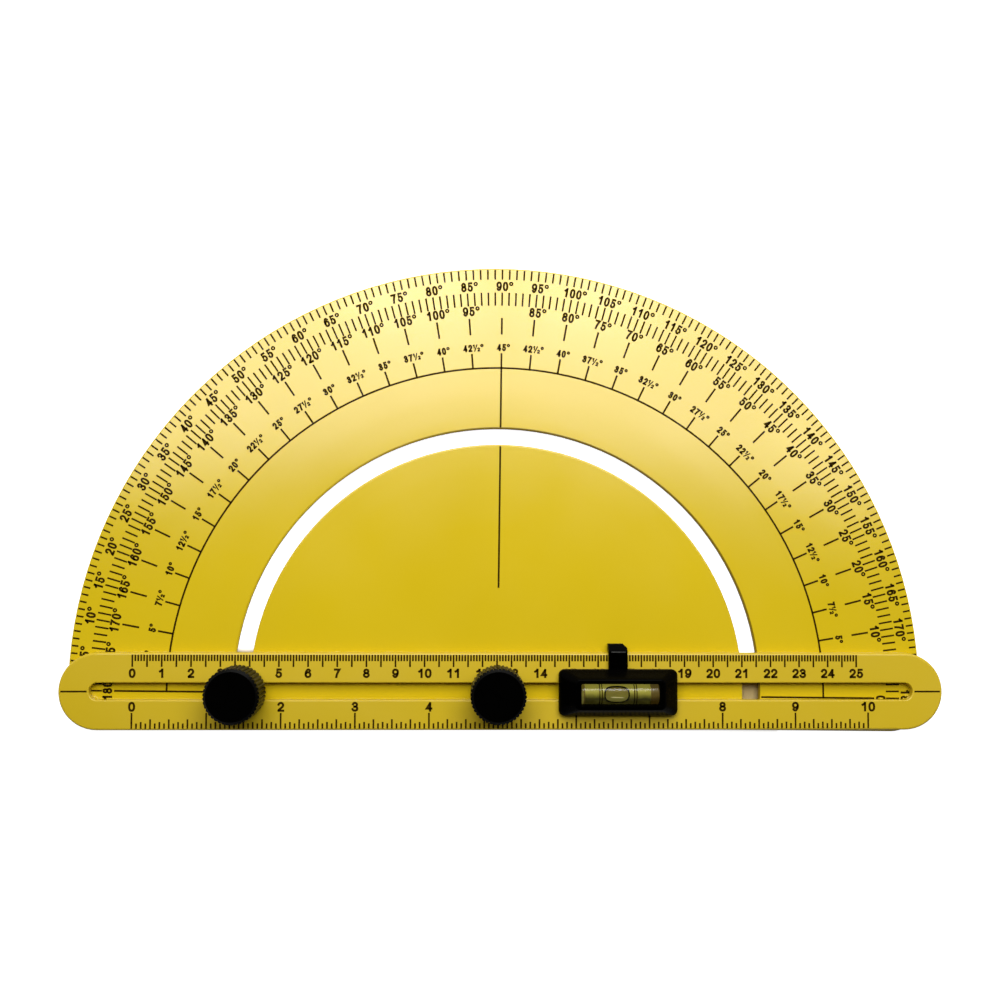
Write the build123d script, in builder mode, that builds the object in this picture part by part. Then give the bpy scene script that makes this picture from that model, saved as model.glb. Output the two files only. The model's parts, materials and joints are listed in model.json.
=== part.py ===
"""Adjustable protractor: a half-round degree plate with a slotted rule arm and a spirit level.

Frame: the origin is on the pivot axis, on the plane of the plate's back. +X runs along the
plate's base line towards its 180 degree mark, +Y towards its 90 degree mark, +Z up out of the
printed face. The arm lies on the plate and turns about the pivot; at rest it stands a little past
the base line, against the end of the arc slot. Millimetres.
"""

import os
from math import cos, radians, sin

from build123d import *

# Driving dimensions ------------------------------------------------------------------------

# Degree plate
PLATE_RADIUS = 148.1
PLATE_THICK = 3.0
BASE_DROP = 12.9  # from the base line to the straight edge
PLATE_CORNER = 10.0
ARC_RADIUS = 88.5  # centre line of the arc slot
ARC_WIDTH = 5.5
ARC_OVERRUN = 1.0  # degrees that the slot's end centres lie past the base line
PLATE_EDGE_ROUND = 0.5

# Rule arm
ARM_LENGTH = 305.4  # just over twelve inches
ARM_WIDTH = 26.5
ARM_THICK = 3.0
ARM_CENTRE = 2.3  # middle of the arm, ahead of the pivot
ARM_SLOT_LENGTH = 284.5
ARM_SLOT_WIDTH = 5.9
ARM_GAP = 0.15  # between the plate and the arm
ARM_REST_ANGLE = 0.55  # degrees that the arm stands past the base line
ARM_EDGE_ROUND = 0.8
ARM_SLOT_ROUND = 0.4

# Clamp screws
SCREW_DIAMETER = 4.2  # No. 8 screw
HEAD_DIAMETER = 9.6
HEAD_THICK = 1.3
HEAD_LIFT = 0.2  # the head stays this far inside the plate's back
NECK_CORNER = 0.5
NECK_FIT = 0.05  # round the square neck, in the plate's square hole
RECESS_WIDTH = 10.4
RECESS_DEPTH = 1.6
SCREW_REACH = 10.0  # up into the knob

# Washers
WASHER_BORE = 4.6
WASHER_DIAMETER = 13.0
WASHER_THICK = 1.0
CLAMP_GAP = 0.1  # under and over the washer

# Knobs and their threaded inserts
KNOB_DIAMETER = 18.8
KNOB_HEIGHT = 15.5
KNOB_RIDGES = 41
RIDGE_RADIUS = 0.62
RIDGE_HEIGHT = 0.45
KNOB_BEVEL = 1.1
INSERT_DIAMETER = 8.0
INSERT_LENGTH = 11.0
THREAD_FIT = 0.05  # radial, round the screw

# Spirit level
LEVEL_AT = 41.5  # along the arm, from the pivot
LEVEL_ASIDE = -0.1  # across the arm
LEVEL_LENGTH = 41.0
LEVEL_WIDTH = 15.9
LEVEL_HEIGHT = 9.4
LEVEL_CORNER = 2.0
LEVEL_GAP = 0.15  # over the arm
SKIRT_HEIGHT = 2.8  # upright part of the housing's side
CROWN_LENGTH = 29.6
CROWN_WIDTH = 9.9
CROWN_CORNER = 1.2

# Clip that holds the level on the arm
CLIP_LENGTH = 36.0
CLIP_WIDTH = 12.0
CLIP_THICK = 1.2
CLIP_FIT = 0.1
FOOT_LENGTH = 28.0
FOOT_WIDTH = 5.0
FOOT_CLEARANCE = 0.6  # over the plate
HOOK_WIDTH = 6.5
HOOK_THICK = 1.9
HOOK_REACH = 16.4  # from the arm's centre line to the tip
HOOK_FOLD = 13.9  # where the top starts to slope down
HOOK_GAP = 0.15  # off the arm's edge
HOOK_NOSE = 2.2  # height of the tip's upright face
HOOK_BEVEL = 1.3  # across the tip's right-hand corner

# Vial
VIAL_DIAMETER = 7.0
VIAL_LENGTH = 26.4
VIAL_BORE = 5.0
VIAL_END = 1.3  # closed end's thickness
VIAL_FLOOR = 0.8  # of the housing, under the vial
VIAL_FIT = 0.1
PLUG_LENGTH = 2.9
LIQUID_FIT = 0.05
LIQUID_LEVEL = 0.3  # over the bore's axis, along the bubble's path
BUBBLE_LENGTH = 9.0
BUBBLE_DIAMETER = 4.6
BUBBLE_LIFT = 0.45  # underside of the bubble, over the bore's axis
BUBBLE_END_ROUND = 1.6
RING_SPACING = 11.8  # between the middles of the two pairs
RING_PITCH = 0.8  # within a pair
RING_WIDTH = 0.3
RING_DEPTH = 0.1

# Worked out -------------------------------------------------------------------------------

NECK_HOLE = SCREW_DIAMETER + 2 * NECK_FIT
ARM_BOTTOM = PLATE_THICK + ARM_GAP
ARM_TOP = ARM_BOTTOM + ARM_THICK
WASHER_BOTTOM = ARM_TOP + CLAMP_GAP
KNOB_BOTTOM = WASHER_BOTTOM + WASHER_THICK + CLAMP_GAP
KNOB_TOP = KNOB_BOTTOM + KNOB_HEIGHT
KNOB_RADIUS = KNOB_DIAMETER / 2
LEVEL_BOTTOM = ARM_TOP + LEVEL_GAP
LEVEL_TOP = LEVEL_BOTTOM + LEVEL_HEIGHT
POCKET_FLOOR = LEVEL_BOTTOM + CLIP_THICK + CLIP_FIT + VIAL_FLOOR
VIAL_AXIS_Z = POCKET_FLOOR + VIAL_FIT / 2 + VIAL_DIAMETER / 2
LIQUID_START = VIAL_END - VIAL_LENGTH / 2
LIQUID_END = VIAL_LENGTH / 2 - PLUG_LENGTH
LIQUID_MIDDLE = (LIQUID_START + LIQUID_END) / 2

ARM_X = (cos(radians(ARM_REST_ANGLE)), sin(radians(ARM_REST_ANGLE)), 0)
ARM_PLANE = Plane(origin=(0, 0, 0), x_dir=ARM_X, z_dir=(0, 0, 1))
ARM_Y = ARM_PLANE.y_dir


def on_arm(along, across=0.0):
    """Level plane at a point along and across the arm's centre line."""
    return Plane(origin=ARM_PLANE.from_local_coords((along, across, 0)), x_dir=ARM_X, z_dir=(0, 0, 1))


def across_vial(along):
    """Plane square to the vial's axis, a distance along from the vial's middle."""
    middle = on_arm(LEVEL_AT, LEVEL_ASIDE).from_local_coords((along, 0, VIAL_AXIS_Z))
    return Plane(origin=middle, x_dir=ARM_Y, z_dir=ARM_X)


os.makedirs("parts", exist_ok=True)

# Degree plate -----------------------------------------------------------------------------

ARC_PATH = CenterArc((0, 0), ARC_RADIUS, -ARC_OVERRUN, 180 + 2 * ARC_OVERRUN)

with BuildPart() as protractor_plate:
    with BuildSketch() as outline:
        Circle(PLATE_RADIUS)
        with Locations((0, -BASE_DROP)):
            Rectangle(
                2 * PLATE_RADIUS,
                PLATE_RADIUS + BASE_DROP,
                align=(Align.CENTER, Align.MIN),
                mode=Mode.INTERSECT,
            )
        fillet(outline.vertices().group_by(Axis.Y)[0], PLATE_CORNER)
    extrude(amount=PLATE_THICK)
    # The arc slot lets the screw through; the wider recess behind it takes the screw's head.
    with BuildSketch():
        SlotArc(ARC_PATH, ARC_WIDTH)
    extrude(amount=PLATE_THICK, mode=Mode.SUBTRACT)
    # The printed face's outer edge and the arc slot's rim are rounded.
    face = protractor_plate.faces().sort_by(Axis.Z)[-1]
    fillet(face.edges(), PLATE_EDGE_ROUND)
    with BuildSketch():
        SlotArc(ARC_PATH, RECESS_WIDTH)
    extrude(amount=RECESS_DEPTH, mode=Mode.SUBTRACT)
    # The pivot screw sits in a square hole with a round recess.
    with BuildSketch():
        RectangleRounded(NECK_HOLE, NECK_HOLE, NECK_CORNER + NECK_FIT)
    extrude(amount=PLATE_THICK, mode=Mode.SUBTRACT)
    with BuildSketch():
        Circle(RECESS_WIDTH / 2)
    extrude(amount=RECESS_DEPTH, mode=Mode.SUBTRACT)

protractor_plate.part.label = "protractor_plate"
export_step(protractor_plate.part, "parts/protractor_plate.step")

# Rule arm ---------------------------------------------------------------------------------

with BuildPart() as rule_arm:
    with BuildSketch(on_arm(ARM_CENTRE).offset(ARM_BOTTOM)):
        SlotOverall(ARM_LENGTH, ARM_WIDTH)
        SlotOverall(ARM_SLOT_LENGTH, ARM_SLOT_WIDTH, mode=Mode.SUBTRACT)
    extrude(amount=ARM_THICK)
    face = rule_arm.faces().sort_by(Axis.Z)[-1]
    fillet(face.outer_wire().edges(), ARM_EDGE_ROUND)
    face = rule_arm.faces().sort_by(Axis.Z)[-1]
    fillet(face.inner_wires()[0].edges(), ARM_SLOT_ROUND)

rule_arm.part.label = "rule_arm"
export_step(rule_arm.part, "parts/rule_arm.step")

# The two clamps: screw, washer, knob and threaded insert -------------------------------------

CLAMPS = {
    "pivot": Plane.XY,
    "lock": on_arm(-ARC_RADIUS),
}

for name, seat in CLAMPS.items():
    with BuildPart() as screw:
        with BuildSketch(seat.offset(HEAD_LIFT)):
            Circle(HEAD_DIAMETER / 2)
        extrude(amount=HEAD_THICK)
        chamfer(screw.edges().group_by(Axis.Z)[0], HEAD_THICK / 3)
        with BuildSketch(seat.offset(HEAD_LIFT + HEAD_THICK)):
            RectangleRounded(SCREW_DIAMETER, SCREW_DIAMETER, NECK_CORNER)
        extrude(amount=PLATE_THICK - HEAD_LIFT - HEAD_THICK)
        with BuildSketch(seat.offset(PLATE_THICK)):
            Circle(SCREW_DIAMETER / 2)
        extrude(amount=KNOB_BOTTOM + SCREW_REACH - PLATE_THICK)
        chamfer(screw.edges().group_by(Axis.Z)[-1], HEAD_THICK / 3)
    screw.part.label = f"{name}_bolt"
    export_step(screw.part, f"parts/{name}_bolt.step")

    with BuildPart() as washer:
        with BuildSketch(seat.offset(WASHER_BOTTOM)):
            Circle(WASHER_DIAMETER / 2)
            Circle(WASHER_BORE / 2, mode=Mode.SUBTRACT)
        extrude(amount=WASHER_THICK)
    washer.part.label = f"{name}_washer"
    export_step(washer.part, f"parts/{name}_washer.step")

    with BuildPart() as knob:
        with BuildSketch(seat.offset(KNOB_BOTTOM)):
            Circle(KNOB_RADIUS - RIDGE_HEIGHT)
            with PolarLocations(KNOB_RADIUS - RIDGE_RADIUS, KNOB_RIDGES):
                Circle(RIDGE_RADIUS)
        extrude(amount=KNOB_HEIGHT)
        # Bevel the ends of the ridges at the crown and the foot.
        with BuildSketch(Plane(origin=seat.origin, x_dir=(1, 0, 0), z_dir=(0, -1, 0))):
            with BuildLine():
                Polyline(
                    (0, KNOB_BOTTOM),
                    (KNOB_RADIUS - KNOB_BEVEL, KNOB_BOTTOM),
                    (KNOB_RADIUS, KNOB_BOTTOM + KNOB_BEVEL),
                    (KNOB_RADIUS, KNOB_TOP - KNOB_BEVEL),
                    (KNOB_RADIUS - KNOB_BEVEL, KNOB_TOP),
                    (0, KNOB_TOP),
                    close=True,
                )
            make_face()
        revolve(axis=Axis(seat.origin, (0, 0, 1)), mode=Mode.INTERSECT)
        with BuildSketch(seat.offset(KNOB_BOTTOM)):
            Circle(INSERT_DIAMETER / 2)
        extrude(amount=INSERT_LENGTH, mode=Mode.SUBTRACT)
    knob.part.label = f"{name}_knob"
    export_step(knob.part, f"parts/{name}_knob.step")

    with BuildPart() as insert:
        with BuildSketch(seat.offset(KNOB_BOTTOM)):
            Circle(INSERT_DIAMETER / 2)
            Circle(SCREW_DIAMETER / 2 + THREAD_FIT, mode=Mode.SUBTRACT)
        extrude(amount=INSERT_LENGTH)
    insert.part.label = f"{name}_insert"
    export_step(insert.part, f"parts/{name}_insert.step")

# Spirit level -----------------------------------------------------------------------------

LEVEL_SEAT = on_arm(LEVEL_AT, LEVEL_ASIDE)

with BuildPart() as level_housing:
    with BuildSketch(LEVEL_SEAT.offset(LEVEL_BOTTOM)):
        RectangleRounded(LEVEL_LENGTH, LEVEL_WIDTH, LEVEL_CORNER)
    extrude(amount=SKIRT_HEIGHT)
    # Sloping sides rise from the skirt to the crown round the window.
    with BuildSketch(LEVEL_SEAT.offset(LEVEL_BOTTOM + SKIRT_HEIGHT)):
        RectangleRounded(LEVEL_LENGTH, LEVEL_WIDTH, LEVEL_CORNER)
    with BuildSketch(LEVEL_SEAT.offset(LEVEL_TOP)):
        RectangleRounded(CROWN_LENGTH, CROWN_WIDTH, CROWN_CORNER)
    loft(ruled=True)
    # Pocket for the clip's plate, then the vial's pocket, open at the top as the window.
    with BuildSketch(LEVEL_SEAT.offset(LEVEL_BOTTOM)):
        Rectangle(CLIP_LENGTH + 2 * CLIP_FIT, CLIP_WIDTH + 2 * CLIP_FIT)
    extrude(amount=CLIP_THICK + CLIP_FIT, mode=Mode.SUBTRACT)
    with BuildSketch(LEVEL_SEAT.offset(POCKET_FLOOR)):
        Rectangle(VIAL_LENGTH + 2 * VIAL_FIT, VIAL_DIAMETER + 2 * VIAL_FIT)
    extrude(amount=LEVEL_HEIGHT, mode=Mode.SUBTRACT)
    # Notch in the skirt, for the hook.
    with BuildSketch(LEVEL_SEAT.offset(LEVEL_BOTTOM)):
        with Locations((0, CLIP_WIDTH / 2)):
            Rectangle(HOOK_WIDTH + 2 * CLIP_FIT, LEVEL_WIDTH, align=(Align.CENTER, Align.MIN))
    extrude(amount=HOOK_THICK + CLIP_FIT, mode=Mode.SUBTRACT)

level_housing.part.label = "level_housing"
export_step(level_housing.part, "parts/level_housing.step")

HOOK_PLANE = Plane(origin=on_arm(LEVEL_AT).origin, x_dir=ARM_Y, z_dir=ARM_X)
HOOK_ROOT = CLIP_WIDTH / 2 + LEVEL_ASIDE + CLIP_FIT  # from the arm's centre line

with BuildPart() as level_clip:
    with BuildSketch(LEVEL_SEAT.offset(LEVEL_BOTTOM)):
        Rectangle(CLIP_LENGTH, CLIP_WIDTH)
    extrude(amount=CLIP_THICK)
    # Foot that runs in the arm's slot.
    with BuildSketch(on_arm(LEVEL_AT).offset(PLATE_THICK + FOOT_CLEARANCE)):
        RectangleRounded(FOOT_LENGTH, FOOT_WIDTH, FOOT_WIDTH / 3)
    extrude(amount=LEVEL_BOTTOM - PLATE_THICK - FOOT_CLEARANCE)
    # Hook over the arm's edge, drawn from the side: x is across the arm, y is up.
    with BuildSketch(HOOK_PLANE):
        with BuildLine():
            Polyline(
                (CLIP_WIDTH / 4, LEVEL_BOTTOM),
                (ARM_WIDTH / 2 + HOOK_GAP, LEVEL_BOTTOM),
                (ARM_WIDTH / 2 + HOOK_GAP, PLATE_THICK + FOOT_CLEARANCE),
                (HOOK_REACH, PLATE_THICK + FOOT_CLEARANCE),
                (HOOK_REACH, PLATE_THICK + FOOT_CLEARANCE + HOOK_NOSE),
                (HOOK_FOLD, LEVEL_BOTTOM + HOOK_THICK),
                (HOOK_ROOT, LEVEL_BOTTOM + HOOK_THICK),
                (HOOK_ROOT, LEVEL_BOTTOM + CLIP_THICK),
                (CLIP_WIDTH / 4, LEVEL_BOTTOM + CLIP_THICK),
                close=True,
            )
        make_face()
    extrude(amount=HOOK_WIDTH / 2, both=True)
    corner = on_arm(LEVEL_AT + HOOK_WIDTH / 2, HOOK_REACH).origin
    uprights = level_clip.edges().filter_by(Axis.Z)
    chamfer(uprights.sort_by_distance(corner)[0], HOOK_BEVEL)

level_clip.part.label = "level_clip"
export_step(level_clip.part, "parts/level_clip.step")

# Vial: clear tube closed at one end, plug, liquid, bubble and reading rings ---------------------

RING_PAIRS = {
    "left": LIQUID_MIDDLE - RING_SPACING / 2,
    "right": LIQUID_MIDDLE + RING_SPACING / 2,
}

with BuildPart() as vial_tube:
    with BuildSketch(across_vial(-VIAL_LENGTH / 2)):
        Circle(VIAL_DIAMETER / 2)
    extrude(amount=VIAL_LENGTH)
    chamfer(vial_tube.edges().filter_by(GeomType.CIRCLE), VIAL_FIT)
    with BuildSketch(across_vial(LIQUID_START)):
        Circle(VIAL_BORE / 2)
    extrude(amount=VIAL_LENGTH, mode=Mode.SUBTRACT)
    # Shallow grooves for the reading rings.
    for middle in RING_PAIRS.values():
        for step in (-RING_PITCH / 2, RING_PITCH / 2):
            with BuildSketch(across_vial(middle + step - RING_WIDTH / 2)):
                Circle(VIAL_DIAMETER / 2)
                Circle(VIAL_DIAMETER / 2 - RING_DEPTH, mode=Mode.SUBTRACT)
            extrude(amount=RING_WIDTH, mode=Mode.SUBTRACT)

vial_tube.part.label = "vial_tube"
export_step(vial_tube.part, "parts/vial_tube.step")

for name, middle in RING_PAIRS.items():
    with BuildPart() as rings:
        for step in (-RING_PITCH / 2, RING_PITCH / 2):
            with BuildSketch(across_vial(middle + step - RING_WIDTH / 2)):
                Circle(VIAL_DIAMETER / 2)
                Circle(VIAL_DIAMETER / 2 - RING_DEPTH, mode=Mode.SUBTRACT)
            extrude(amount=RING_WIDTH)
    rings.part.label = f"vial_rings_{name}"
    export_step(rings.part, f"parts/vial_rings_{name}.step")

with BuildPart() as vial_plug:
    with BuildSketch(across_vial(LIQUID_END)):
        Circle(VIAL_BORE / 2 - LIQUID_FIT)
    extrude(amount=PLUG_LENGTH)

vial_plug.part.label = "vial_plug"
export_step(vial_plug.part, "parts/vial_plug.step")

# The liquid has a clear channel along its top, where the bubble runs.
with BuildPart() as vial_liquid:
    with BuildSketch(across_vial(LIQUID_START)):
        Circle(VIAL_BORE / 2 - LIQUID_FIT)
    extrude(amount=LIQUID_END - LIQUID_START)
    with BuildSketch(across_vial(LIQUID_START)):
        with Locations((0, LIQUID_LEVEL)):
            Rectangle(VIAL_BORE, VIAL_BORE, align=(Align.CENTER, Align.MIN))
    extrude(amount=LIQUID_END - LIQUID_START, mode=Mode.SUBTRACT)

vial_liquid.part.label = "vial_liquid"
export_step(vial_liquid.part, "parts/vial_liquid.step")

with BuildPart() as vial_bubble:
    with BuildSketch(across_vial(LIQUID_MIDDLE - BUBBLE_LENGTH / 2)):
        Circle(BUBBLE_DIAMETER / 2)
        with Locations((0, BUBBLE_LIFT)):
            Rectangle(VIAL_BORE, VIAL_BORE, align=(Align.CENTER, Align.MIN), mode=Mode.INTERSECT)
    extrude(amount=BUBBLE_LENGTH)
    # Both ends are rounded, as seen from above.
    with BuildSketch(LEVEL_SEAT.offset(VIAL_AXIS_Z)):
        with Locations((LIQUID_MIDDLE, 0)):
            RectangleRounded(BUBBLE_LENGTH, BUBBLE_DIAMETER, BUBBLE_END_ROUND)
    extrude(amount=VIAL_BORE, mode=Mode.INTERSECT)

vial_bubble.part.label = "vial_bubble"
export_step(vial_bubble.part, "parts/vial_bubble.step")
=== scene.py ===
"""Looks of the adjustable protractor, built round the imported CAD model: printed scales, finishes,
light and camera.

The frame is the CAD model's own: origin on the pivot axis at the plate's back, +Z out of the
printed face. Lengths in this script are millimetres unless a name says otherwise; `MM` turns them
into the metres that the scene is in.
"""

import json
from math import cos, pi, radians, sin, sqrt

import bpy
from mathutils import Matrix, Quaternion, Vector

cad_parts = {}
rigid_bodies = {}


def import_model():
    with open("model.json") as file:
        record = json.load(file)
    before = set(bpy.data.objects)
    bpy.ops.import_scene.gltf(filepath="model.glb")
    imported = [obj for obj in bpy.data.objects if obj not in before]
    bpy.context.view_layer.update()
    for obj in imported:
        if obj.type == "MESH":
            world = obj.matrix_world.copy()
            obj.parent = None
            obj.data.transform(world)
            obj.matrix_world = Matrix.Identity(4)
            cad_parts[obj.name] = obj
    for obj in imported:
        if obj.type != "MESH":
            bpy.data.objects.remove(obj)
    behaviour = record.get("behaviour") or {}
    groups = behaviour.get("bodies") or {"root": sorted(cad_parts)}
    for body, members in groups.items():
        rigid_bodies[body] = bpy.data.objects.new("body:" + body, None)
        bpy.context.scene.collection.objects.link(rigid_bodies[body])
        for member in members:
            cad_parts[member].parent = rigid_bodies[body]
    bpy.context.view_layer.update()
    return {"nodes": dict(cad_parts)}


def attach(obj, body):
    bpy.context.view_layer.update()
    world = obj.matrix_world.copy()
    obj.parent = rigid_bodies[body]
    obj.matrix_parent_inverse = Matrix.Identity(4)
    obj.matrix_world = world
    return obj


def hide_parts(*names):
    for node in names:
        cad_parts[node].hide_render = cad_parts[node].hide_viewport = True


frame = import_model()
nodes = frame["nodes"]
scene = bpy.context.scene

MM = 0.001

# ---------------------------------------------------------------------------------------------
# Camera and studio
# ---------------------------------------------------------------------------------------------

CAMERA_AT = Vector((-10.75, 47.5, 426.4)) * MM
CAMERA_AIM = Vector((0.17, 66.42, 0.0)) * MM
CAMERA_LENS = 43.61
CAMERA_SENSOR = 36
CAMERA_CLIP = (0.01, 100)  # metres
CAMERA_ROLL = radians(0.72)

# Height and colour of the sky's two ends, then its strength from south to north
SKY = ((0.12, (1.0, 1.0, 1.02, 1)), (0.7, (0.01, 0.01, 0.01, 1)))
SKY_NORTH = (-0.5, 0.7, 0.2, 1.0)


def add_camera():
    camera = bpy.data.objects.new("camera", bpy.data.cameras.new("camera"))
    scene.collection.objects.link(camera)
    camera.data.lens = CAMERA_LENS
    camera.data.sensor_width = CAMERA_SENSOR
    camera.data.clip_start, camera.data.clip_end = CAMERA_CLIP
    back = (CAMERA_AT - CAMERA_AIM).normalized()
    up = Vector((-sin(CAMERA_ROLL), cos(CAMERA_ROLL), 0))
    right = up.cross(back).normalized()
    up = back.cross(right)
    turn = Matrix((right, up, back)).transposed()
    camera.matrix_world = Matrix.Translation(CAMERA_AT) @ turn.to_4x4()
    scene.camera = camera


def add_world():
    """A dim studio: dark overhead and to the south, paler low down to the north.

    Seen past the floor's edge it is as white as the floor."""
    world = bpy.data.worlds.new("studio")
    world.use_nodes = True
    scene.world = world
    tree = world.node_tree
    tree.nodes.clear()
    out = tree.nodes.new("ShaderNodeOutputWorld")
    where = tree.nodes.new("ShaderNodeTexCoord")
    split = tree.nodes.new("ShaderNodeSeparateXYZ")
    ramp = tree.nodes.new("ShaderNodeValToRGB")
    for stop, (height, colour) in zip(ramp.color_ramp.elements, SKY):
        stop.position = height
        stop.color = colour
    north = tree.nodes.new("ShaderNodeMapRange")
    for name, value in zip(("From Min", "From Max", "To Min", "To Max"), SKY_NORTH):
        north.inputs[name].default_value = value
    sky = tree.nodes.new("ShaderNodeBackground")
    backdrop = tree.nodes.new("ShaderNodeBackground")
    backdrop.inputs["Color"].default_value = (1, 1, 1, 1)
    seen = tree.nodes.new("ShaderNodeLightPath")
    choice = tree.nodes.new("ShaderNodeMixShader")
    for source, target in (
        (where.outputs["Generated"], split.inputs[0]),
        (split.outputs["Z"], ramp.inputs[0]),
        (split.outputs["Y"], north.inputs["Value"]),
        (ramp.outputs[0], sky.inputs["Color"]),
        (north.outputs[0], sky.inputs["Strength"]),
        (seen.outputs["Is Camera Ray"], choice.inputs[0]),
        (sky.outputs[0], choice.inputs[1]),
        (backdrop.outputs[0], choice.inputs[2]),
        (choice.outputs[0], out.inputs[0]),
    ):
        tree.links.new(source, target)


scene.view_settings.view_transform = "Standard"
add_camera()
add_world()

# ---------------------------------------------------------------------------------------------
# Materials
# ---------------------------------------------------------------------------------------------

# The vial's axis lies along the arm; these are its height and its distance from the pivot's line
VIAL_Z = 11.95
VIAL_Y = 0.3
BLEND_REACH = 1.3  # each side of the vial's middle, where the painted shade across the vial turns from one colour to the other

# Ring of painted shade along the arc slot's outer edge, whose wall falls in shade, and half its width
SLOT_SHADE_RADIUS = 91.45
SLOT_SHADE_REACH = 0.5
SLOT_SHADE_BROWN = (0.13, 0.075, 0.002)


class Finish:
    """A Principled material whose noise and bump are worked out from the object's own place."""

    def __init__(self, name, base, roughness, ior=1.5, metallic=0.0):
        self.material = bpy.data.materials.new(name)
        self.material.use_nodes = True
        self.tree = self.material.node_tree
        self.shader = self.tree.nodes["Principled BSDF"]
        self.shader.inputs["Base Color"].default_value = (*base, 1)
        self.shader.inputs["Roughness"].default_value = roughness
        self.shader.inputs["IOR"].default_value = ior
        self.shader.inputs["Metallic"].default_value = metallic
        self.base = self.shader.inputs["Base Color"]
        self.where = self.node("ShaderNodeTexCoord").outputs["Object"]
        self.normal = None

    def node(self, kind, **settings):
        made = self.tree.nodes.new(kind)
        for name, value in settings.items():
            setattr(made, name, value)
        return made

    def link(self, source, target):
        self.tree.links.new(source, target)

    def noise(self, size, detail=3.0, stretch=(1, 1, 1)):
        """Noise whose lumps are about `size` millimetres across."""
        spread = self.node("ShaderNodeMapping")
        spread.inputs["Scale"].default_value = stretch
        self.link(self.where, spread.inputs["Vector"])
        noise = self.node("ShaderNodeTexNoise")
        noise.inputs["Scale"].default_value = 1 / (size * MM)
        noise.inputs["Detail"].default_value = detail
        self.link(spread.outputs[0], noise.inputs["Vector"])
        return noise.outputs["Fac"]

    def remap(self, value, low, high, start=0.3, end=0.7):
        span = self.node("ShaderNodeMapRange")
        span.inputs["From Min"].default_value = start
        span.inputs["From Max"].default_value = end
        span.inputs["To Min"].default_value = low
        span.inputs["To Max"].default_value = high
        self.link(value, span.inputs["Value"])
        return span.outputs[0]

    def bump(self, height, depth):
        """Adds a bump whose full height is `depth` millimetres."""
        bump = self.node("ShaderNodeBump")
        bump.inputs["Distance"].default_value = depth * MM
        self.link(height, bump.inputs["Height"])
        if self.normal is not None:
            self.link(self.normal, bump.inputs["Normal"])
        self.normal = bump.outputs[0]
        self.link(self.normal, self.shader.inputs["Normal"])

    def mix(self, value, first, second):
        """Colour that turns from first to second; either is an RGB triple or a socket."""
        mix = self.node("ShaderNodeMix", data_type="RGBA")
        for socket, colour in ((mix.inputs["A"], first), (mix.inputs["B"], second)):
            if isinstance(colour, tuple):
                socket.default_value = (*colour, 1)
            else:
                self.link(colour, socket)
        self.link(value, mix.inputs["Factor"])
        return mix.outputs["Result"]

    def math(self, operation, first, second=None, **settings):
        """Result of a Math node; either value is a number or a socket."""
        node = self.node("ShaderNodeMath", operation=operation, **settings)
        for socket, value in zip(node.inputs, (first, second)):
            if isinstance(value, (int, float)):
                socket.default_value = value
            elif value is not None:
                self.link(value, socket)
        return node.outputs[0]

    def place(self):
        """The surface point's X, Y and Z sockets."""
        split = self.node("ShaderNodeSeparateXYZ")
        self.link(self.where, split.inputs[0])
        return split.outputs

    def vary_colour(self, value, first, second):
        self.link(self.mix(value, first, second), self.base)

    def vary_roughness(self, value):
        self.link(value, self.shader.inputs["Roughness"])


# A wave texture of scale 1 has its rings this far apart
WAVE_SPACING = 2 * pi / 20


def rings_about_pivot(finish, spacing, distortion):
    """Rings about the pivot axis, `spacing` millimetres apart."""
    wave = finish.node("ShaderNodeTexWave", wave_type="RINGS", rings_direction="Z")
    wave.inputs["Scale"].default_value = WAVE_SPACING / (spacing * MM)
    wave.inputs["Distortion"].default_value = distortion
    finish.link(finish.where, wave.inputs["Vector"])
    return wave.outputs["Fac"]


def slot_edge_dirt(finish):
    """Factor for painted shade: one along the arc slot's outer edge, where its wall falls in shade,
    and less at its left.
    """
    flat = finish.node("ShaderNodeVectorMath", operation="MULTIPLY")
    flat.inputs[1].default_value = (1, 1, 0)
    finish.link(finish.where, flat.inputs[0])
    away = finish.node("ShaderNodeVectorMath", operation="LENGTH")
    finish.link(flat.outputs[0], away.inputs[0])
    near = finish.math("ABSOLUTE", finish.math("SUBTRACT", away.outputs["Value"], SLOT_SHADE_RADIUS * MM))
    band = finish.remap(near, 1, 0, SLOT_SHADE_REACH * MM * 0.8, SLOT_SHADE_REACH * MM)
    side = finish.remap(finish.place()["X"], 0.15, 0.85, -70 * MM, 0.0)
    return finish.math("MULTIPLY", band, side)


def plate_finish():
    finish = Finish("plate_yellow", (0.6, 0.43, 0.006), 0.18, ior=1.59)
    cloud = finish.noise(60, detail=2)
    clean = finish.mix(finish.remap(cloud, 0, 1), (0.585, 0.418, 0.0055), (0.615, 0.442, 0.0065))
    # Painted shade: dark brown along the arc slot's outer edge
    finish.link(finish.mix(slot_edge_dirt(finish), clean, SLOT_SHADE_BROWN), finish.base)
    finish.vary_roughness(finish.remap(finish.noise(25, detail=4), 0.16, 0.21))
    finish.bump(rings_about_pivot(finish, 9, 0.6), 0.004)
    finish.bump(finish.noise(16, detail=2), 0.02)
    finish.bump(finish.noise(0.35, detail=2), 0.0006)
    return finish.material


def arm_finish():
    finish = Finish("arm_yellow", (0.55, 0.39, 0.01), 0.34, ior=1.5)
    cloud = finish.noise(40, detail=2, stretch=(0.4, 1, 1))
    finish.vary_colour(finish.remap(cloud, 0, 1), (0.54, 0.38, 0.009), (0.57, 0.4, 0.011))
    finish.vary_roughness(finish.remap(finish.noise(18, detail=4), 0.3, 0.38))
    finish.bump(finish.noise(14, detail=2, stretch=(0.3, 1, 1)), 0.015)
    finish.bump(finish.noise(0.35, detail=2), 0.0008)
    return finish.material


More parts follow.
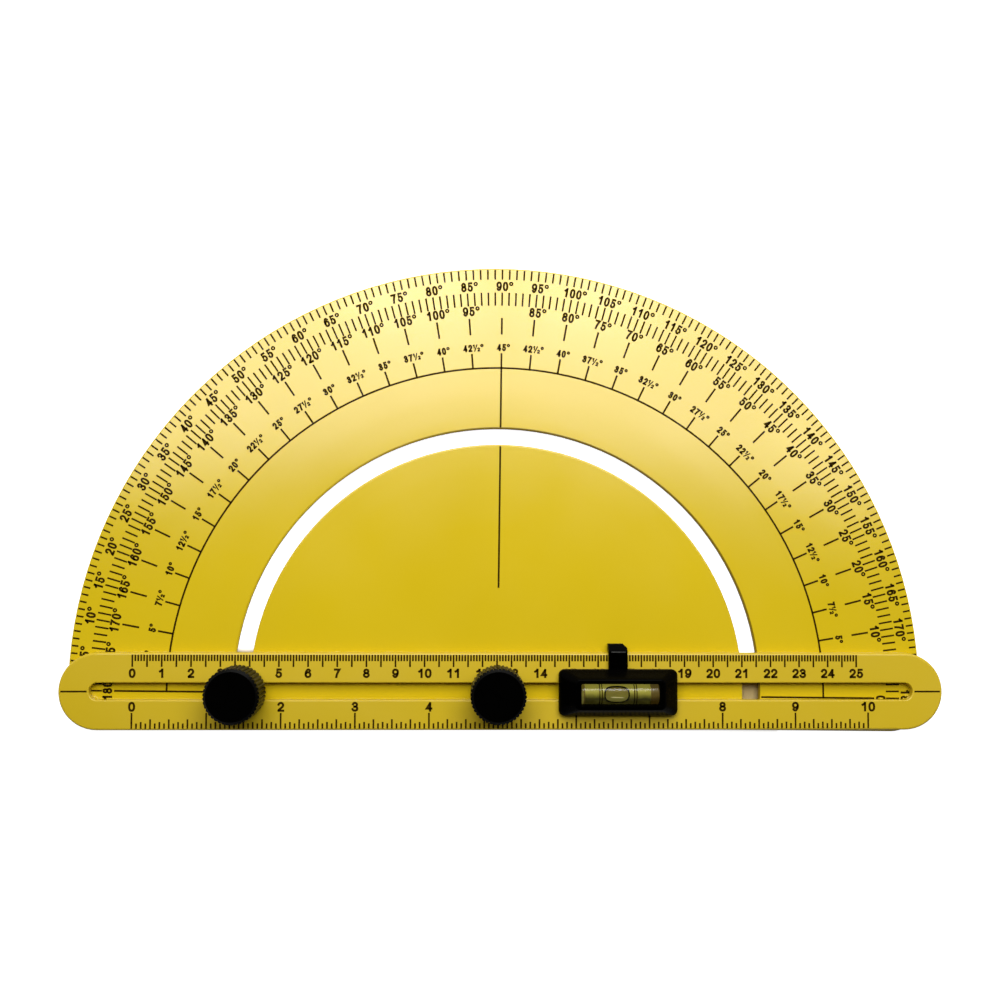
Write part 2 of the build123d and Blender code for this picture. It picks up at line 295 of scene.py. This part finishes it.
def black_finish(name, roughness, grain, gloss):
    finish = Finish(name, (0.0007, 0.0006, 0.0005), roughness, ior=1.46)
    finish.shader.inputs["Specular IOR Level"].default_value = gloss
    finish.vary_roughness(finish.remap(finish.noise(3, detail=4), roughness - 0.04, roughness + 0.06))
    finish.bump(finish.noise(grain, detail=3), 0.006)
    return finish.material


# Painted highlight: a lighter grey for the line along the hook's fold
def worn_finish():
    finish = Finish("fold_highlight_grey", (0.1, 0.1, 0.095), 0.5)
    finish.vary_colour(finish.remap(finish.noise(0.8), 0, 1), (0.07, 0.07, 0.066), (0.14, 0.14, 0.13))
    finish.bump(finish.noise(0.3), 0.004)
    return finish.material


def steel_finish():
    finish = Finish("plated_steel", (0.62, 0.62, 0.60), 0.32, metallic=1.0)
    finish.vary_roughness(finish.remap(finish.noise(2, detail=5), 0.25, 0.42))
    finish.bump(finish.noise(0.4, detail=3), 0.004)
    return finish.material


def brass_finish():
    finish = Finish("insert_brass", (0.72, 0.50, 0.20), 0.3, metallic=1.0)
    finish.vary_roughness(finish.remap(finish.noise(1.5, detail=4), 0.24, 0.4))
    finish.bump(finish.noise(0.3, detail=2), 0.003)
    return finish.material


def ink_finish():
    finish = Finish("marking_black", (0.021, 0.0095, 0.002), 0.55)
    finish.shader.inputs["Specular IOR Level"].default_value = 0.15
    # The yellow under the thin ink tints its gloss
    finish.shader.inputs["Specular Tint"].default_value = (1.0, 0.8, 0.12, 1.0)
    cloud = finish.noise(3, detail=3)
    finish.vary_colour(finish.remap(cloud, 0, 1), (0.019, 0.008, 0.0006), (0.028, 0.012, 0.001))
    finish.bump(finish.noise(0.25, detail=2), 0.003)
    return finish.material


def vial_finish():
    finish = Finish("vial_clear", (0.97, 0.98, 0.93), 0.12, ior=1.49)
    finish.shader.inputs["Transmission Weight"].default_value = 1.0
    finish.vary_roughness(finish.remap(finish.noise(3, detail=2), 0.11, 0.14))
    return finish.material


def across_finish(name, south, north, roughness, painted_glow=0.0):
    """Colour that turns from south to north across the middle of the vial: painted light and shade
    across its round body.

    The colour also glows a little: painted light, not a lamp."""
    finish = Finish(name, north, roughness, ior=1.4)
    middle = VIAL_Y * MM
    reach = BLEND_REACH * MM
    across = finish.remap(finish.place()["Y"], 0, 1, middle - reach, middle + reach)
    cloud = finish.remap(finish.noise(2.5, detail=2), -0.08, 0.08)
    total = finish.math("ADD", across, cloud, use_clamp=True)
    colour = finish.mix(total, south, north)
    finish.link(colour, finish.base)
    # Painted light: the same colour glows
    finish.link(colour, finish.shader.inputs["Emission Color"])
    finish.shader.inputs["Emission Strength"].default_value = painted_glow
    finish.vary_roughness(finish.remap(finish.noise(1.2), roughness - 0.04, roughness + 0.08))
    return finish.material


MATERIALS = {
    "plate_yellow": plate_finish(),
    "arm_yellow": arm_finish(),
    "knob_black": black_finish("knob_black", 0.34, 0.3, 0.06),
    "level_black": black_finish("level_black", 0.24, 0.5, 0.015),
    "plated_steel": steel_finish(),
    "insert_brass": brass_finish(),
    "marking_black": ink_finish(),
    "vial_clear": vial_finish(),
    "vial_liquid_yellow": across_finish(
        "vial_liquid_yellow", (0.06, 0.054, 0.008), (0.62, 0.56, 0.09), 0.3, painted_glow=0.33
    ),
    "vial_plug_amber": across_finish(
        "vial_plug_amber", (0.1, 0.06, 0.006), (0.28, 0.2, 0.05), 0.35, painted_glow=0.22
    ),
    "vial_air": across_finish("vial_air", (0.3, 0.27, 0.06), (0.24, 0.19, 0.03), 0.2, painted_glow=0.3),
}
FOLD_HIGHLIGHT_GREY = worn_finish()
# Painted shade: a near-black band round the bubble, where its curved edge turns the light away
BUBBLE_RIM_SHADE = across_finish("bubble_rim_shade", (0.02, 0.02, 0.004), (0.03, 0.028, 0.005), 0.25)
# Painted highlight: a pale glowing streak on the bubble
BUBBLE_GLINT = across_finish(
    "bubble_glint", (0.72, 0.66, 0.3), (0.62, 0.56, 0.22), 0.25, painted_glow=0.4
)

NODE_MATERIALS = {
    "protractor_plate": "plate_yellow",
    "rule_arm": "arm_yellow",
    "pivot_bolt": "plated_steel",
    "lock_bolt": "plated_steel",
    "pivot_washer": "plated_steel",
    "lock_washer": "plated_steel",
    "pivot_knob": "knob_black",
    "lock_knob": "knob_black",
    "pivot_insert": "insert_brass",
    "lock_insert": "insert_brass",
    "level_housing": "level_black",
    "level_clip": "level_black",
    "vial_tube": "vial_clear",
    "vial_plug": "vial_plug_amber",
    "vial_liquid": "vial_liquid_yellow",
    "vial_bubble": "vial_air",
    "vial_rings_left": "marking_black",
    "vial_rings_right": "marking_black",
}

for name, slot in NODE_MATERIALS.items():
    node = nodes[name]
    if not node.data.materials:
        node.data.materials.append(MATERIALS[slot])
    for index in range(len(node.data.materials)):
        node.data.materials[index] = MATERIALS[slot]

# ---------------------------------------------------------------------------------------------
# Floor and lights
# ---------------------------------------------------------------------------------------------

FLOOR_HALF = 6000
FLOOR_Z = -0.2
# Behind the arm the floor does not glow white, and is coloured darker and yellow there:
# painted shade and a painted bounce of the arm's yellow. That strip is this far from the pivot,
# along and across the arm; across, it fades between two distances.
STRIP_HALF_LENGTH = 85
STRIP_FADE = (12, 14)

# Name, centre, size, radiance, aim, and turn in degrees
HIGH_PANELS = (
    ("softbox_left", (-163, 229, 560), (330, 198), 6.0, (-163, 229, 0), 12.6),
    ("softbox_right", (195, 220, 560), (340, 198), 5.8, (195, 220, 0), -15.1),
    ("softbox_top", (10, 300, 558), (270, 130), 4.6, (10, 300, 0), 0.0),
    ("softbox_north", (20, 500, 520), (760, 270), 5.25, (0, 50, 0), 0.0),
)
LOW_PANEL = ("softbox_low_north", (20, 613, 325), (760, 420), 5.2, (0, 50, 0), 0.0)
LIT_FROM_HIGH = ("floor", "protractor_plate", "rule_arm", "plate_scale", "rule_scale")


def add_floor():
    finish = Finish("floor_white", (0.6, 0.6, 0.6), 0.9)
    finish.shader.inputs["Specular IOR Level"].default_value = 0.1
    finish.shader.inputs["Emission Color"].default_value = (1, 1, 1, 1)
    place = finish.place()
    past = finish.math("SUBTRACT", finish.math("ABSOLUTE", place["X"]), STRIP_HALF_LENGTH * MM)
    beside = finish.math("MAXIMUM", finish.math("ABSOLUTE", place["Y"]), past)
    clear = finish.remap(beside, 0, 1, STRIP_FADE[0] * MM, STRIP_FADE[1] * MM)
    seen = finish.node("ShaderNodeLightPath").outputs["Is Camera Ray"]
    finish.link(finish.math("MULTIPLY", clear, seen), finish.shader.inputs["Emission Strength"])
    # Painted shade and painted yellow bounce: the floor's colour in the strip under the arm
    finish.vary_colour(clear, (0.5, 0.38, 0.17), (0.6, 0.6, 0.6))
    half, z = FLOOR_HALF * MM, FLOOR_Z * MM
    mesh = bpy.data.meshes.new("floor")
    corners = [(-half, -half, z), (half, -half, z), (half, half, z), (-half, half, z)]
    mesh.from_pydata(corners, [], [(0, 1, 2, 3)])
    mesh.materials.append(finish.material)
    floor = bpy.data.objects.new("floor", mesh)
    scene.collection.objects.link(floor)


def add_panel(name, centre, size, radiance, aim, turn):
    """Rectangular soft light, as bright all over as `radiance`."""
    light = bpy.data.lights.new(name, "AREA")
    light.shape = "RECTANGLE"
    light.size = size[0] * MM
    light.size_y = size[1] * MM
    light.energy = radiance * pi * light.size * light.size_y
    panel = bpy.data.objects.new(name, light)
    scene.collection.objects.link(panel)
    panel.location = Vector(centre) * MM
    away = (Vector(centre) - Vector(aim)).normalized()
    panel.rotation_mode = "QUATERNION"
    panel.rotation_quaternion = Quaternion((0, 0, 1), radians(turn)) @ away.to_track_quat("Z", "Y")
    panel.visible_camera = False
    return panel


add_floor()
high_panels = [add_panel(*row) for row in HIGH_PANELS]
low_panel = add_panel(*LOW_PANEL)

# ---------------------------------------------------------------------------------------------
# Printed marks: thin raised ribbons
# ---------------------------------------------------------------------------------------------

INK_PROUD = 0.02
INK_SUNK = 0.01
STROKE_END = 0.45  # how far a numeral's stroke runs past its centre line, in stroke widths

# In numeral heights
HALF_ADVANCE = 1.0
HALF_SMALL = 0.56
HALF_EXTRA_WIDE = 0.14
HALF_DIGITS = (("1", 0.17, 1 - HALF_SMALL), ("2", 0.80, 0.0))  # with centre and foot
HALF_BAR = ((0.22, 0.02), (0.62, 0.98))
RING_AWAY = 0.26
RING_SIZE = 0.222
RING_STEPS = 18
PLATE_NUMERAL = (0.575, 0.665)  # how wide, and from one to the next
ARM_NUMERAL = (0.71, 0.77)

# In stroke widths
HALF_THIN = 0.66
RING_THIN = 0.75
RING_INSET = 0.35


class Print:
    """Marks on one flat face. Points are (x, y) in the face's own frame."""

    def __init__(self, top, wide, advance, turn=0.0, centre=(0.0, 0.0)):
        self.top = top
        self.wide = wide
        self.advance = advance
        self.turn = turn
        self.centre = centre
        self.points = []
        self.faces = []

    def put(self, x, y, z):
        c, s = cos(self.turn), sin(self.turn)
        x, y = x + self.centre[0], y + self.centre[1]
        self.points.append(((x * c - y * s) * MM, (x * s + y * c) * MM, z * MM))

    def line(self, path, width, closed=False, reach=0.0):
        """Ribbon along the path. An open ribbon runs `reach` past each end."""
        path = [Vector(p) for p in path]
        if not closed and reach:
            path[0] = path[0] + (path[0] - path[1]).normalized() * reach
            path[-1] = path[-1] + (path[-1] - path[-2]).normalized() * reach
        count = len(path)
        first = len(self.points)
        for i, point in enumerate(path):
            ahead = path[(i + 1) % count] - point if closed or i < count - 1 else None
            behind = point - path[i - 1] if closed or i else None
            ahead = (ahead or behind).normalized()
            behind = (behind or ahead).normalized()
            along = (ahead + behind).normalized()
            side = Vector((-along.y, along.x)) * (width / 2 / max(along.dot(ahead), 0.5))
            for edge in (point + side, point - side):
                self.put(edge.x, edge.y, self.top + INK_PROUD)
                self.put(edge.x, edge.y, self.top - INK_SUNK)
        for i in range(count if closed else count - 1):
            a = first + 4 * i
            b = first + 4 * ((i + 1) % count)
            self.faces += [
                (a + 2, b + 2, b, a),
                (a + 1, b + 1, b + 3, a + 3),
                (a, b, b + 1, a + 1),
                (a + 3, b + 3, b + 2, a + 2),
            ]
        if not closed:
            last = first + 4 * (count - 1)
            self.faces += [
                (first, first + 1, first + 3, first + 2),
                (last + 2, last + 3, last + 1, last),
            ]

    def text(self, words, at, tilt, height, weight, ring=False):
        """Numerals centred on `at`, their feet on it; a degree ring hangs past the last one."""
        widths = [HALF_ADVANCE if c == "h" else self.advance for c in words]
        x = -sum(widths) / 2
        c, s = cos(tilt), sin(tilt)

        def place(path, shift):
            return [
                (
                    at[0] + ((u + shift) * c - v * s) * height,
                    at[1] + ((u + shift) * s + v * c) * height,
                )
                for u, v in path
            ]

        stroke = weight / height
        for letter, width in zip(words, widths):
            if letter == "h":
                self.half(place, x, height, weight)
            else:
                for path, closed in glyph(letter, self.wide - stroke, stroke):
                    self.line(place(path, x + width / 2), weight, closed, weight * STROKE_END)
            x += width
        if ring:
            reach = RING_SIZE - stroke * RING_INSET
            path = ellipse(x + RING_AWAY, 1 - RING_SIZE, reach, reach, RING_STEPS)
            self.line(place(path, 0), weight * RING_THIN, True)

    def half(self, place, x, height, weight):
        """The fraction one half, in one wide cell."""
        thin = weight * HALF_THIN
        stroke = thin / height / HALF_SMALL
        for letter, across, up in HALF_DIGITS:
            for path, closed in glyph(letter, self.wide + HALF_EXTRA_WIDE - stroke, stroke):
                moved = [(u * HALF_SMALL, v * HALF_SMALL + up) for u, v in path]
                self.line(place(moved, x + across), thin, closed, thin * STROKE_END)
        self.line(place(HALF_BAR, x), thin)

    def build(self, name):
        mesh = bpy.data.meshes.new(name)
        mesh.from_pydata(self.points, [], self.faces)
        mesh.materials.append(MATERIALS["marking_black"])
        piece = bpy.data.objects.new(name, mesh)
        scene.collection.objects.link(piece)
        return piece


def curve(cx, cy, rx, ry, start, end, steps):
    """Part of an ellipse, from start to end in degrees."""
    found = []
    for i in range(steps + 1):
        a = radians(start + (end - start) * i / steps)
        found.append((cx + rx * cos(a), cy + ry * sin(a)))
    return found


def squared(value, power):
    """A sine or cosine with its size raised to a power; under 1 it fills an ellipse's corners."""
    return abs(value) ** power * (1 if value >= 0 else -1)


def ellipse(cx, cy, rx, ry, steps, power=1.0):
    """Whole ellipse, fuller in its corners if `power` is under 1."""
    found = []
    for i in range(steps):
        a = 2 * pi * i / steps
        found.append((cx + rx * squared(cos(a), power), cy + ry * squared(sin(a), power)))
    return found


SIX = [
    (ellipse(0.5, 0.315, 0.5, 0.315, 18, 0.92), True),
    (
        curve(0.55, 0.40, 0.55, 0.58, 180, 118, 6)[:-1] + curve(0.55, 0.76, 0.38, 0.24, 112, 18, 6),
        False,
    ),
]

# Centre lines of the numerals in a box one wide and one high
NUMERALS = {
    "0": [(ellipse(0.5, 0.5, 0.5, 0.5, 20, 0.86), True)],
    "1": [([(0.66, 0.0), (0.66, 1.0)], False), ([(0.14, 0.735), (0.42, 0.83), (0.6, 0.97)], False)],
    "2": [
        (
            curve(0.5, 0.71, 0.48, 0.29, 168, -24, 11)
            + [(0.80, 0.47), (0.55, 0.32), (0.22, 0.16), (0.06, 0.03)],
            False,
        ),
        ([(0.06, 0.0), (1.0, 0.0)], False),
    ],
    "3": [
        (curve(0.48, 0.755, 0.42, 0.245, 165, -88, 12), False),
        (curve(0.48, 0.265, 0.5, 0.265, 88, -168, 12), False),
        ([(0.36, 0.515), (0.5, 0.52)], False),
    ],
    "4": [([(0.74, 0.0), (0.74, 0.97)], False), ([(0.70, 0.94), (0.02, 0.27), (1.0, 0.27)], False)],
    "5": [
        (
            [(0.92, 1.0), (0.2, 1.0), (0.08, 0.50)] + curve(0.48, 0.32, 0.5, 0.32, 138, -162, 13),
            False,
        ),
    ],
    "6": SIX,
    "7": [([(0.0, 1.0), (0.97, 1.0), (0.66, 0.66), (0.42, 0.32), (0.32, 0.0)], False)],
    "8": [
        (ellipse(0.5, 0.765, 0.42, 0.235, 16), True),
        (ellipse(0.5, 0.265, 0.5, 0.265, 18), True),
    ],
    "9": [([(1 - u, 1 - v) for u, v in path], closed) for path, closed in SIX],
}


def glyph(letter, wide, stroke):
    """Centre lines of a numeral one high, centred across, for a stroke this thick."""
    tall = 1 - stroke
    return [
        ([((u - 0.5) * wide, v * tall + stroke / 2) for u, v in path], closed)
        for path, closed in NUMERALS[letter]
    ]


# Degree plate ------------------------------------------------------------------------------

PLATE_TOP = 3.0
PLATE_RIM = 147.6  # where the flat face ends
PRINT_CENTRE = (-0.03, -1.4)  # the print sits a little low of the pivot
TICK_LINE = 0.6
FRAME_LINE = 0.65

OUTER_TICK_FROM = 145.5
OUTER_NUMERALS = 141.4
SECOND_TICKS = (136.25, 140.9)
INNER_NUMERALS = 132.7
LONG_TICKS = (126.0, 131.9)
NUMERAL_HEIGHT = 3.4
NUMERAL_WEIGHT = 0.73
MITRE_ARC = 114.15
MITRE_TICKS = (114.15, 119.4)
MITRE_NUMERALS = 120.1
MITRE_HEIGHT = 2.6
MITRE_WEIGHT = 0.64
SLOT_OUTER = 91.8
SLOT_INNER = 85.2
VERTEX_LINE_END = 37.0
BASE_LINE = (92.3, 132.1)


def at(radius, angle):
    """Point at a radius and an outer-ring reading, 0 at the left and 180 at the right."""
    return (-radius * cos(radians(angle)), radius * sin(radians(angle)))


def rim(angle):
    """Distance from the print's centre to the plate's flat rim along a reading."""
    ux, uy = at(1.0, angle)
    b = ux * PRINT_CENTRE[0] + uy * PRINT_CENTRE[1]
    c = PRINT_CENTRE[0] ** 2 + PRINT_CENTRE[1] ** 2 - PLATE_RIM**2
    return -b + sqrt(b * b - c)


def print_plate():
    marks = Print(PLATE_TOP, *PLATE_NUMERAL, centre=PRINT_CENTRE)
    for angle in range(181):
        marks.line([at(OUTER_TICK_FROM, angle), at(rim(angle), angle)], TICK_LINE)
        marks.line([at(r, angle) for r in SECOND_TICKS], TICK_LINE)
    for angle in range(0, 181, 5):
        tilt = radians(90 - angle)
        size = (NUMERAL_HEIGHT, NUMERAL_WEIGHT)
        marks.text(str(angle), at(OUTER_NUMERALS, angle), tilt, *size, angle > 0)
        if angle != 90:
            marks.text(str(180 - angle), at(INNER_NUMERALS, angle), tilt, *size, angle > 0)
        if 0 < angle < 180:
            marks.line([at(r, angle) for r in LONG_TICKS], FRAME_LINE)
    marks.line([at(MITRE_ARC, a) for a in range(0, 181, 2)], FRAME_LINE)
    for angle in range(5, 180, 5):
        if angle != 90:
            marks.line([at(r, angle) for r in MITRE_TICKS], FRAME_LINE)
        mitre = min(angle, 180 - angle)
        words = str(mitre // 2) + ("h" if mitre % 2 else "")
        tilt = radians(90 - angle)
        marks.text(words, at(MITRE_NUMERALS, angle), tilt, MITRE_HEIGHT, MITRE_WEIGHT, True)
    low = -PRINT_CENTRE[1]  # the slot is round the pivot, not round the print's centre
    marks.line([at(MITRE_TICKS[1], 90), at(SLOT_OUTER + low, 90)], FRAME_LINE)
    marks.line([at(SLOT_INNER + low, 90), at(VERTEX_LINE_END, 90)], FRAME_LINE)
    for angle in (0, 180):
        marks.line([at(r, angle) for r in BASE_LINE], FRAME_LINE)
    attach(marks.build("plate_scale"), "protractor")


# Rule arm ----------------------------------------------------------------------------------

ARM_TOP = 6.15
ARM_TURN = radians(0.55)
RULE_ZERO = -125.2
CM_EDGE = 12.6
CM_TICKS = (2.2, 4.2)
CM_NUMERALS = 4.6
CM_HEIGHT = 3.3
RULE_WEIGHT = 0.76
INCH = 25.4
INCH_EDGE = -12.65
INCH_NUMERALS = -6.9
INCH_HEIGHT = 3.4
INCH_TICKS = {16: 5.4, 8: 3.2, 4: 3.2, 2: 2.3, 1: 1.8}
END_LINES = ((-149.5, -140.55), (154.1, 145.15))  # from the arm's tips to its slot


def print_arm():
    marks = Print(ARM_TOP, *ARM_NUMERAL, turn=ARM_TURN)
    for mm in range(251):
        x = RULE_ZERO + mm
        long = mm % 5 == 0
        marks.line([(x, CM_EDGE), (x, CM_EDGE - CM_TICKS[long])], TICK_LINE)
    for cm in range(26):
        marks.text(str(cm), (RULE_ZERO + 10 * cm, CM_NUMERALS), 0.0, CM_HEIGHT, RULE_WEIGHT)
    for part in range(161):
        x = RULE_ZERO + part * INCH / 16
        step = next(s for s in INCH_TICKS if part % s == 0)
        marks.line([(x, INCH_EDGE), (x, INCH_EDGE + INCH_TICKS[step])], TICK_LINE)
    for inch in range(11):
        x = RULE_ZERO + INCH * inch
        marks.text(str(inch), (x, INCH_NUMERALS), 0.0, INCH_HEIGHT, RULE_WEIGHT)
    for tip, slot_end in END_LINES:
        marks.line([(tip, 0), (slot_end, 0)], TICK_LINE)
    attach(marks.build("rule_scale"), "rule")


print_plate()
print_arm()

# Level and vial ----------------------------------------------------------------------------

LEVEL_AT = 41.5
LEVEL_ASIDE = -0.1
VIAL_BORE = 2.52  # radius; the liquid touches the tube all round
LIQUID = (-11.9, 10.3)  # from the vial's middle
PLUG = (10.32, 13.15)
# At the liquid's left end: a pale glowing disc of painted light where the clear glass end is seen,
# then a dark disc of painted shade
END_GLOW = (-12.95, -12.25)
END_SHADE = (-12.23, -11.92)
BUBBLE_AT = -1.2
BUBBLE_HALF = 4.35
BUBBLE_SIDE = 70  # degrees down each side of the bore
BUBBLE_POWERS = (0.8, 0.85)  # along and across
GLASS_STEPS = 96
FILL_STEPS = 56
BUBBLE_STEPS = 48
CORNER_STEPS = 7
SHARP_FROM = radians(40)

# Distance from the vial's middle and radius: outside from the left, then back along the bore
VIAL_PROFILE = [
    (-13.2, 3.1), (-13.16, 3.3), (-13.05, 3.44), (-12.9, 3.5), (12.9, 3.5), (13.05, 3.44),
    (13.16, 3.3), (13.2, 3.1), (13.2, 2.7), (13.15, 2.56), (13.0, 2.5), (-11.7, 2.5), (-11.88, 2.36),
]

# A filling's rounded end: distance from the end, and how far inside the bore
FILL_END = ((0, 0.12), (0.04, 0.03), (0.12, 0))

# Rings over the bubble: millimetres in from its tips, degrees up from its sides, and how far
# outside the bore
BUBBLE_SKIN = (
    (0.5, 14, -0.1),
    (0.5, 14, 0.03),
    (1.1, 26, 0.05),
    (2.0, 42, 0.06),
    (3.0, 56, 0.06),
    (3.9, 67, 0.06),
)
# Rings of the bubble's dark band of painted shade: in from its tips, up from its sides, outside the
# bore
BUBBLE_RIM_SHADE_RINGS = ((0, 0, -0.08), (0, 0, 0.05), (0.5, 14, 0.05), (0.5, 14, -0.08))

# Outline of the painted highlight, a pale streak on the bubble: along it, degrees down its side, and
# 1 at the tips
GLINT = [
    (-2.3, 19, 1), (-1.2, 16, 0), (0.4, 15.5, 0), (1.8, 16.5, 0),
    (2.6, 20, 1), (1.4, 22.5, 0), (-0.2, 23, 0), (-1.5, 22, 0),
]
GLINT_PROUD = (0.09, 0.13)  # foot and top, outside the bore
GLINT_TIP_DROP = 0.04
GLINT_SLANT = 0.5  # degrees for each millimetre along

# Painted highlight along the hook's fold, a lighter line where its rounded edge would catch the
# light: its place from the arm's centre line, its height, its outline
HOOK_FOLD = 13.9
HOOK_TOP = 8.2
HOOK_HIGHLIGHT = ((-2.5, -0.15), (-2.2, 0.0), (2.5, 0.0), (2.8, -0.15), (2.5, -0.32), (-2.2, -0.32))
HOOK_HIGHLIGHT_PROUD = (-0.01, 0.02)

# Half length, half width, corner radius and height of the housing's skin, from its foot up over
# the crown and down the window's sides
HOUSING = [
    (20.1, 7.55, 1.7, 6.36),
    (20.4, 7.85, 1.9, 6.5),
    (20.5, 7.95, 2.0, 6.9),
    (20.5, 7.95, 2.0, 8.0),
    (20.38, 7.85, 2.1, 8.8),
    (20.0, 7.6, 2.3, 9.5),
    (19.3, 7.25, 2.5, 10.4),
    (18.0, 6.6, 2.6, 12.0),
    (16.7, 5.95, 2.4, 13.6),
    (15.7, 5.45, 2.1, 14.8),
    (15.2, 5.15, 1.8, 15.35),
    (14.8, 4.85, 1.6, 15.62),
    (14.4, 4.5, 1.3, 15.7),
    (13.75, 4.0, 0.9, 15.7),
    (13.45, 3.75, 0.6, 15.6),
    (13.32, 3.62, 0.5, 15.35),
    (13.3, 3.6, 0.5, 12.5),
    (13.3, 3.6, 0.5, 8.4),
]


def beside_level(x, y, z):
    """Point given from the level's middle, along the arm, across it and up."""
    c, s = cos(ARM_TURN), sin(ARM_TURN)
    x, y = x + LEVEL_AT, y + LEVEL_ASIDE
    return ((x * c - y * s) * MM, (x * s + y * c) * MM, z * MM)


def round_the_vial(along, angle, radius):
    """Point at a distance along the vial and an angle from its top, towards the inch scale."""
    a = radians(angle)
    return beside_level(along, -radius * sin(a), VIAL_Z + radius * cos(a))


def add_skin(name, rings, material, loop=False):
    """Closed skin through rings of points; `loop` joins the last ring to the first."""
    count = len(rings[0])
    points = [point for ring in rings for point in ring]
    faces = []
    for i in range(len(rings) if loop else len(rings) - 1):
        a = i * count
        b = (i + 1) % len(rings) * count
        for j in range(count):
            k = (j + 1) % count
            faces.append((a + j, a + k, b + k, b + j))
    if not loop:
        faces.append(tuple(reversed(range(count))))
        faces.append(tuple(range(len(points) - count, len(points))))
    mesh = bpy.data.meshes.new(name)
    mesh.from_pydata(points, [], faces)
    mesh.materials.append(material)
    mesh.shade_smooth()
    mesh.set_sharp_from_angle(angle=SHARP_FROM)
    piece = bpy.data.objects.new(name, mesh)
    scene.collection.objects.link(piece)
    return piece


def rounded_ring(half_x, half_y, corner, z):
    ring = []
    for quarter, (sx, sy) in enumerate(((1, 1), (-1, 1), (-1, -1), (1, -1))):
        for i in range(CORNER_STEPS + 1):
            a = radians(90 * (quarter + i / CORNER_STEPS))
            x = sx * (half_x - corner) + corner * cos(a)
            y = sy * (half_y - corner) + corner * sin(a)
            ring.append(beside_level(x, y, z))
    return ring


def turned(profile, steps):
    """Rings round the vial's axis through a profile of distances along it and radii."""
    return [
        [round_the_vial(along, 360 * i / steps, radius) for i in range(steps)]
        for along, radius in profile
    ]


def add_fill(name, ends, slot, node=None):
    """Full-bore filling of the vial, with its two ends a little rounded."""
    start, end = ends
    profile = [(start + along, VIAL_BORE - inside) for along, inside in FILL_END]
    profile += [(end - along, VIAL_BORE - inside) for along, inside in reversed(FILL_END)]
    piece = add_skin(name, turned(profile, FILL_STEPS), MATERIALS[slot])
    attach(piece, "level")
    if node:
        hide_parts(node)


def bubble_ring(inset, drop, proud):
    """Outline of the bubble, pulled in by some millimetres and degrees."""
    ring = []
    for i in range(BUBBLE_STEPS):
        a = 2 * pi * i / BUBBLE_STEPS
        along = (BUBBLE_HALF - inset) * squared(cos(a), BUBBLE_POWERS[0])
        side = (BUBBLE_SIDE - drop) * squared(sin(a), BUBBLE_POWERS[1])
        ring.append(round_the_vial(BUBBLE_AT + along, -side, VIAL_BORE + proud))
    return ring


def glint_ring(proud):
    return [
        round_the_vial(
            BUBBLE_AT + along, angle + GLINT_SLANT * along, VIAL_BORE + proud - GLINT_TIP_DROP * tip
        )
        for along, angle, tip in GLINT
    ]


def add_vial():
    """The glass, closed at its left end and open at its right for the plug, and what it holds."""
    rings = turned(VIAL_PROFILE, GLASS_STEPS)
    glass = add_skin("vial_glass", rings, MATERIALS["vial_clear"])
    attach(glass, "level")
    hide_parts("vial_tube")
    add_fill("liquid_fill", LIQUID, "vial_liquid_yellow", "vial_liquid")
    add_fill("plug_fill", PLUG, "vial_plug_amber", "vial_plug")
    add_fill("end_glow", END_GLOW, "vial_air")
    add_fill("end_shade", END_SHADE, "vial_plug_amber")


def add_bubble():
    # The bubble is drawn with painted light: a glowing skin, ringed by painted shade and crossed by a
    # painted highlight
    rings = [bubble_ring(*row) for row in BUBBLE_SKIN]
    air = add_skin("bubble_skin", rings, MATERIALS["vial_air"])
    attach(air, "bubble")
    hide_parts("vial_bubble")
    rings = [bubble_ring(*row) for row in BUBBLE_RIM_SHADE_RINGS]
    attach(add_skin("bubble_rim_shade", rings, BUBBLE_RIM_SHADE, loop=True), "bubble")
    rings = [glint_ring(proud) for proud in GLINT_PROUD]
    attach(add_skin("bubble_glint", rings, BUBBLE_GLINT), "bubble")


def add_housing():
    rings = [rounded_ring(*row) for row in HOUSING]
    housing = add_skin("level_body", rings, MATERIALS["level_black"])
    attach(housing, "level")
    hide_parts("level_housing")


def add_hook_wear():
    """Painted highlight along the fold of the hook, where its rounded edge would catch the light."""
    rings = [
        [beside_level(u, HOOK_FOLD - LEVEL_ASIDE + v, HOOK_TOP + proud) for u, v in HOOK_HIGHLIGHT]
        for proud in HOOK_HIGHLIGHT_PROUD
    ]
    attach(add_skin("hook_highlight", rings, FOLD_HIGHLIGHT_GREY), "level")


add_housing()
add_vial()
add_bubble()
add_hook_wear()

# ---------------------------------------------------------------------------------------------

# The high panels light the flat yellow parts; the rest is lit from low in the north.
flat_parts = bpy.data.collections.new("flat_parts")
small_parts = bpy.data.collections.new("small_parts")
for piece in scene.objects:
    if piece.name in LIT_FROM_HIGH:
        flat_parts.objects.link(piece)
    elif piece.type == "MESH":
        small_parts.objects.link(piece)
for panel in high_panels:
    panel.light_linking.receiver_collection = flat_parts
low_panel.light_linking.receiver_collection = small_parts
